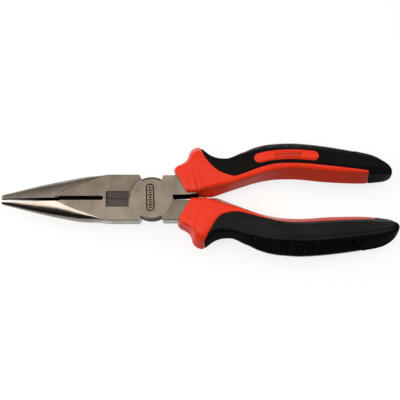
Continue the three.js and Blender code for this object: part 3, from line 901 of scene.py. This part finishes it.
def cover_solid(name):
    """The soft cover: the outer part of the handle with all its relief, hollow for the rail."""

    def relief(rows, rings):
        return seam_groove(rings) + ribs(rows, rings) + badge_seat(rings)

    cover = grip_surface(name, relief)
    cover = common(cover, cover_region("region", 0))
    cover = cut(cover, rail_solid("rail", COVER_SIDE - PART_LINE, COVER_FACE - PART_LINE))
    seat = badge_outline(BADGE_RADIUS + BADGE_CLEARANCE)
    return cut(cover, prism("seat", seat, GRIP_HEIGHT - BADGE_BED - BED_GAP, ABOVE_ALL))


def badge_solid(name):
    """The badge: the handle's front raised a little inside the badge's edge."""

    def relief(rows, rings):
        flat = rings.reshape(-1, 3)
        inside = np.maximum(BADGE_RADIUS - badge_distance(flat), 0)
        rise = BADGE_RISE - fade(*BADGE_EDGE, inside)
        return np.where(flat[:, 2] > BADGE_FACE, rise, 0).reshape(rings.shape[:2])

    column = prism("stamp", badge_outline(BADGE_RADIUS), GRIP_HEIGHT - BADGE_BED, ABOVE_ALL)
    return cut(common(grip_surface(name, relief), column), badge_marks())


def badge_marks():
    """A plain row of short bars between two thin lines, pressed into the badge."""
    marks = None
    start, end = BADGE_LINE[0][0], BADGE_LINE[-1][0]
    line = badge_centre((np.linspace(*MARKS_X, MARK_COUNT) - start) / (end - start))
    for k, (x, y) in enumerate(line):
        bar = prism("bar", rectangle(x, y, MARK_HALF, MARK_HEIGHTS[k % 2]), MARKS_FLOOR, ABOVE_ALL)
        marks = join(marks, bar) if marks else bar
    for rise in (-MARK_LINE_Y, MARK_LINE_Y):
        low, high = line + (0, rise - MARK_LINE_HALF), line + (0, rise + MARK_LINE_HALF)
        marks = join(marks, prism("line", [*low, *high[::-1]], MARKS_FLOOR, ABOVE_ALL))
    return marks


def badge_paint(centre, normal):
    sunk = (np.abs(centre[:, 2] - MARKS_FLOOR) < 0.02) & (normal[:, 2] > 0.9)
    sunk &= (centre[:, 0] > MARKS_X[0] - CLEAR) & (centre[:, 0] < MARKS_X[1] + CLEAR)
    return np.where(sunk, SHADED_PAINT, PLAIN_PAINT)


# ---- materials -----------------------------------------------------------------------------------
def new_material(name):
    material = bpy.data.materials.new(name)
    material.use_nodes = True
    nodes = material.node_tree.nodes
    return material, nodes, material.node_tree.links, nodes["Principled BSDF"]


def object_noise(nodes, links, scale, detail, stretch=(1, 1, 1)):
    """Noise in the piece's own coordinates, with about scale features per metre."""
    coordinates = nodes.new("ShaderNodeTexCoord")
    mapping = nodes.new("ShaderNodeMapping")
    mapping.inputs["Scale"].default_value = stretch
    noise = nodes.new("ShaderNodeTexNoise")
    noise.inputs["Scale"].default_value = scale
    noise.inputs["Detail"].default_value = detail
    links.new(coordinates.outputs["Object"], mapping.inputs["Vector"])
    links.new(mapping.outputs["Vector"], noise.inputs["Vector"])
    return noise.outputs["Fac"]


def ramp(nodes, links, factor, low, high, start=0.3, end=0.7):
    """Blends from the colour low to the colour high while the factor goes from start to end."""
    made = nodes.new("ShaderNodeValToRGB")
    made.color_ramp.elements[0].position = start
    made.color_ramp.elements[0].color = low
    made.color_ramp.elements[1].position = end
    made.color_ramp.elements[1].color = high
    links.new(factor, made.inputs["Fac"])
    return made.outputs["Color"]


def map_range(nodes, links, factor, low, high, start=0.3, end=0.7):
    """Goes from the value low to the value high while the factor goes from start to end."""
    made = nodes.new("ShaderNodeMapRange")
    made.inputs["From Min"].default_value = start
    made.inputs["From Max"].default_value = end
    made.inputs["To Min"].default_value = low
    made.inputs["To Max"].default_value = high
    links.new(factor, made.inputs["Value"])
    return made.outputs["Result"]


def bump(nodes, links, height, distance):
    """A fine relief of the height's noise, distance metres deep."""
    made = nodes.new("ShaderNodeBump")
    made.inputs["Distance"].default_value = distance
    made.inputs["Strength"].default_value = 1.0
    links.new(height, made.inputs["Height"])
    return made.outputs["Normal"]


def edge_tint(nodes, links, colour, edge_colour):
    """Blends another colour in where the surface bulges, along edges: a painted highlight on the red
    plastic.
    """
    geometry = nodes.new("ShaderNodeNewGeometry")
    mix = nodes.new("ShaderNodeMix")
    mix.data_type = "RGBA"
    bulge = map_range(nodes, links, geometry.outputs["Pointiness"], 0, 1, 0.53, 0.6)
    links.new(bulge, mix.inputs["Factor"])
    links.new(colour, mix.inputs["A"])
    mix.inputs["B"].default_value = edge_colour
    return mix.outputs["Result"]


def steel_material(name, low, high, roughness, stretch, relief):
    """Steel with stains and with grinding marks, which are drawn out where the stretch is small."""
    material, nodes, links, shader = new_material(name)
    shader.inputs["Metallic"].default_value = 1.0
    brush = object_noise(nodes, links, 1500, 3, stretch)
    stain = object_noise(nodes, links, 110, 5)
    mix = nodes.new("ShaderNodeMix")
    mix.data_type = "FLOAT"
    mix.inputs["Factor"].default_value = 0.72
    links.new(brush, mix.inputs["A"])
    links.new(stain, mix.inputs["B"])
    colour = ramp(nodes, links, mix.outputs["Result"], (*low, 1), (*high, 1), 0.36, 0.64)
    links.new(colour, shader.inputs["Base Color"])
    links.new(map_range(nodes, links, brush, *roughness), shader.inputs["Roughness"])
    links.new(bump(nodes, links, brush, relief), shader.inputs["Normal"])
    return material


def dull_material(name, low, high, gloss, grain, roughness, relief, cloud=None, edge_colour=None):
    """Two colours blended by the fine grain or by wider clouds, and an edge colour along edges if asked.
    """
    material, nodes, links, shader = new_material(name)
    shader.inputs["Specular IOR Level"].default_value = gloss
    fine = object_noise(nodes, links, *grain)
    tone = object_noise(nodes, links, *cloud) if cloud else fine
    colour = ramp(nodes, links, tone, (*low, 1), (*high, 1))
    if edge_colour:
        colour = edge_tint(nodes, links, colour, (*edge_colour, 1))
    links.new(colour, shader.inputs["Base Color"])
    links.new(map_range(nodes, links, fine, *roughness), shader.inputs["Roughness"])
    links.new(bump(nodes, links, fine, relief), shader.inputs["Normal"])
    return material


def recess_material(name, low, high, gloss):
    """A grainy surface with little or no gloss, for recesses, painted shade and painted light."""
    return dull_material(name, low, high, gloss, (1200, 4), (0.55, 0.75), 2e-5)


def red_material(name, low, high):
    """Smooth moulded plastic, slightly cloudy, with a painted pinkish highlight along its edges."""
    edge_colour = (0.95, 0.15, 0.09)
    return dull_material(name, low, high, 0.25, (2500, 2), (0.28, 0.38), 1e-5, (60, 3), edge_colour)


def black_material(name, low, high):
    """Soft dull plastic between two greys, a little bluish."""
    low, high, edge_colour = (low, low, 1.1 * low), (high, high, 1.1 * high), (0.009, 0.009, 0.0095)
    return dull_material(name, low, high, 0.09, (1800, 3), (0.48, 0.62), 3e-5, (80, 3), edge_colour)


def mark_red_material():
    """The darker red of the pressed marks."""
    low, high = (0.06, 0.01, 0.006), (0.095, 0.014, 0.009)
    return dull_material("pressed_mark", low, high, 0.2, (2500, 2), (0.5, 0.65), 1e-5)


GRINDING = (1.5, 0.05, 0.05)
FINE_GRINDING = (0.3, 0.05, 0.05)
FORGING = (0.6, 0.6, 0.3)
GROUND = {
    1: steel_material(
        "ground_steel", (0.185, 0.157, 0.129), (0.272, 0.238, 0.2), (0.24, 0.34), GRINDING, 3e-6
    ),
    # The back lever's ground steel is a darker copy of the front one's: painted shade.
    -1: steel_material(
        "ground_steel_painted_shade", (0.139, 0.118, 0.097), (0.204, 0.179, 0.15), (0.24, 0.34), GRINDING, 3e-6
    ),
}
SHARED_STEELS = [
    steel_material(
        "polished_steel", (0.225, 0.199, 0.172), (0.265, 0.238, 0.21), (0.18, 0.22), FINE_GRINDING, 8e-7
    ),
    recess_material("dark_recess", (0.072, 0.062, 0.059), (0.114, 0.099, 0.095), 0.1),
    steel_material("forged_steel", (0.21, 0.193, 0.17), (0.29, 0.27, 0.243), (0.3, 0.42), FORGING, 8e-6),
    # Near black: painted shade in the slot, between the teeth, round the joint, in the stamp and on the
    # cutter's land.
    recess_material("deep_recess_painted_shade", (0.01, 0.007, 0.005), (0.02, 0.014, 0.01), 0.0),
    # A lighter colour for the lower notch's rim, which faces away from the lamp: painted light.
    recess_material("lower_notch_painted_light", (0.23, 0.198, 0.174), (0.32, 0.28, 0.25), 0.1),
    # A lighter steel for the crests along the upper jaw's bite.
    steel_material(
        "light_crest_steel", (0.52, 0.48, 0.44), (0.62, 0.58, 0.54), (0.28, 0.36), FINE_GRINDING, 1e-6
    ),
    # A painted dark reflection along the upper jaw's crease.
    steel_material(
        "crease_painted_reflection", (0.085, 0.07, 0.055), (0.12, 0.1, 0.082), (0.25, 0.32), FINE_GRINDING, 1e-6
    ),
]
STEELS = {side: [ground, *SHARED_STEELS] for side, ground in GROUND.items()}

RED = red_material("orange_red_plastic", (0.87, 0.032, 0.007), (0.94, 0.040, 0.009))
# A darker red for the side that faces the other handle: painted shade between the handles.
SHADED_RED = red_material("orange_red_painted_shade", (0.65, 0.050, 0.022), (0.72, 0.060, 0.027))
MARK_RED = mark_red_material()

UPPER_BLACK = black_material("soft_black", 0.0022, 0.0040)
# Near black in the grooves between the ribs: painted shade.
GROOVE_SHADE = recess_material("rib_groove_shade", (0.0008, 0.0008, 0.0009), (0.0015, 0.0015, 0.0016), 0.0)
PLAIN_SIDE = recess_material("plain_side", (0.004, 0.004, 0.0042), (0.007, 0.007, 0.0074), 0.02)
BLACKS = {
    # The upper cover's rib tops are a lighter black: painted light on the ribs.
    "upper": [UPPER_BLACK, GROOVE_SHADE, black_material("rib_top_painted_light", 0.012, 0.020), PLAIN_SIDE],
    # The lower cover's face is a lighter black: a painted sheen.
    "lower": [black_material("soft_black_painted_sheen", 0.009, 0.017), GROOVE_SHADE, UPPER_BLACK, PLAIN_SIDE],
}


# ---- pieces --------------------------------------------------------------------------------------
front = soften(lever_solid("lever_front_steel", 1))
place(front, "lever_front", "front_lever", STEELS[1], lever_paint(1))
back = soften(lever_solid("lever_back_steel", -1))
place(back, "lever_back", "back_lever", STEELS[-1], lever_paint(-1), turned=True)
rivet = soften(cut(rivet_solid(0), stamp_solid()))
rivet.name = "joint_rivet"
place(rivet, "pivot_rivet", "front_lever", STEELS[1], rivet_paint)
for side, body, lower in (("upper", "front_lever", False), ("lower", "back_lever", True)):
    core = soften(core_solid(side + "_handle_core", lower))
    place(core, side + "_grip_core", body, [RED, SHADED_RED], core_paint, lower, lower)
    cover = soften(cover_solid(side + "_handle_cover"))
    place(cover, side + "_grip_cover", body, BLACKS[side], cover_paint, lower, lower)
    badge = soften(badge_solid(side + "_handle_badge"))
    place(badge, side + "_badge", body, [RED, MARK_RED], badge_paint, lower, lower)


# ---- stage, light and camera ---------------------------------------------------------------------
# The studio's brightness against how far a direction leans towards +Y, and below the horizon.
SKY = [
    (-1, 0.02), (-0.5, 0.03), (-0.3, 0.12), (-0.12, 0.55), (0, 0.98),
    (0.12, 1.32), (0.25, 1.38), (0.4, 1.1), (0.6, 0.75), (1, 0.22),
]
SKY_TOP = max(value for y, value in SKY)
SKY_STRENGTH = 1.45
SKY_TINT = (1, 0.93, 0.85)
BELOW_HORIZON = 0.14
FLOOR_HALF = 300.0

# One broad lamp that looks straight down, in metres and watts.
LAMP_PLACE = Vector((-0.35, -0.17, 0.7))
LAMP_SIZE = (0.6, 0.34)
LAMP_POWER = 2.6

# The camera looks down on the tool, a little from the lower handle's side.
CAMERA_TILT = math.radians(13.2)
CAMERA_DISTANCE = 0.38
CAMERA_TARGET = Vector((0.0248, -0.00027, MIDDLE_Z * 0.001))
SENSOR_WIDTH = 36
IMAGE_PIXELS = 400
PIXELS_PER_MM = 1.942


def make_floor():
    """A pale floor that the tool lies on."""
    points = [(x, y, CAD_BOX[0].z) for x, y in rectangle(0, 0, FLOOR_HALF, FLOOR_HALF)]
    floor = mesh_object("floor", points, [(0, 1, 2, 3)])
    material, nodes, links, shader = new_material("pale_floor")
    shader.inputs["Base Color"].default_value = (0.25, 0.25, 0.25, 1)
    shader.inputs["Roughness"].default_value = 0.9
    shader.inputs["Specular IOR Level"].default_value = 0
    shader.inputs["Emission Color"].default_value = (1, 1, 1, 1)
    shader.inputs["Emission Strength"].default_value = 0.8
    floor.data.materials.append(material)
    floor.visible_diffuse = False


def make_lamp():
    data = bpy.data.lights.new("key", "AREA")
    data.shape = "RECTANGLE"
    data.size, data.size_y = LAMP_SIZE
    data.energy = LAMP_POWER
    data.color = (1, 0.95, 0.87)
    lamp = bpy.data.objects.new("key", data)
    lamp.location = LAMP_PLACE
    lamp.visible_camera = False
    bpy.context.scene.collection.objects.link(lamp)


def tinted(value):
    """A brightness of the studio as a colour, as a share of the brightest."""
    return [value * tint / SKY_TOP for tint in SKY_TINT] + [1]


def make_world():
    """A warm grey studio, brightest overhead and behind, dark low down in front of the object."""
    world = bpy.data.worlds.new("studio")
    bpy.context.scene.world = world
    world.use_nodes = True
    nodes, links = world.node_tree.nodes, world.node_tree.links
    coordinates = nodes.new("ShaderNodeTexCoord")
    split = nodes.new("ShaderNodeSeparateXYZ")
    links.new(coordinates.outputs["Generated"], split.inputs["Vector"])
    level = map_range(nodes, links, split.outputs["Y"], 0, 1, -1, 1)
    sky = nodes.new("ShaderNodeValToRGB")
    links.new(level, sky.inputs["Fac"])
    for k, (y, value) in enumerate(SKY):
        stop = sky.color_ramp.elements[k] if k < 2 else sky.color_ramp.elements.new((y + 1) / 2)
        stop.position = (y + 1) / 2
        stop.color = tinted(value)
    mix = nodes.new("ShaderNodeMix")
    mix.data_type = "RGBA"
    above_horizon = map_range(nodes, links, split.outputs["Z"], 0, 1, -0.02, 0.0)
    links.new(above_horizon, mix.inputs["Factor"])
    mix.inputs["A"].default_value = tinted(BELOW_HORIZON)
    links.new(sky.outputs["Color"], mix.inputs["B"])
    links.new(mix.outputs["Result"], nodes["Background"].inputs["Color"])
    nodes["Background"].inputs["Strength"].default_value = SKY_STRENGTH


def make_camera():
    back = Vector((0, -math.sin(CAMERA_TILT), math.cos(CAMERA_TILT)))
    data = bpy.data.cameras.new("camera")
    data.sensor_width = SENSOR_WIDTH
    data.lens = SENSOR_WIDTH * PIXELS_PER_MM * CAMERA_DISTANCE * 1000 / IMAGE_PIXELS
    data.clip_start = 0.01
    camera = bpy.data.objects.new("camera", data)
    camera.location = CAMERA_TARGET + back * CAMERA_DISTANCE
    camera.rotation_euler = (-back).to_track_quat("-Z", "Y").to_euler()
    bpy.context.scene.collection.objects.link(camera)
    bpy.context.scene.camera = camera


make_floor()
make_lamp()
make_world()
make_camera()
bpy.context.scene.view_settings.view_transform = "Standard"
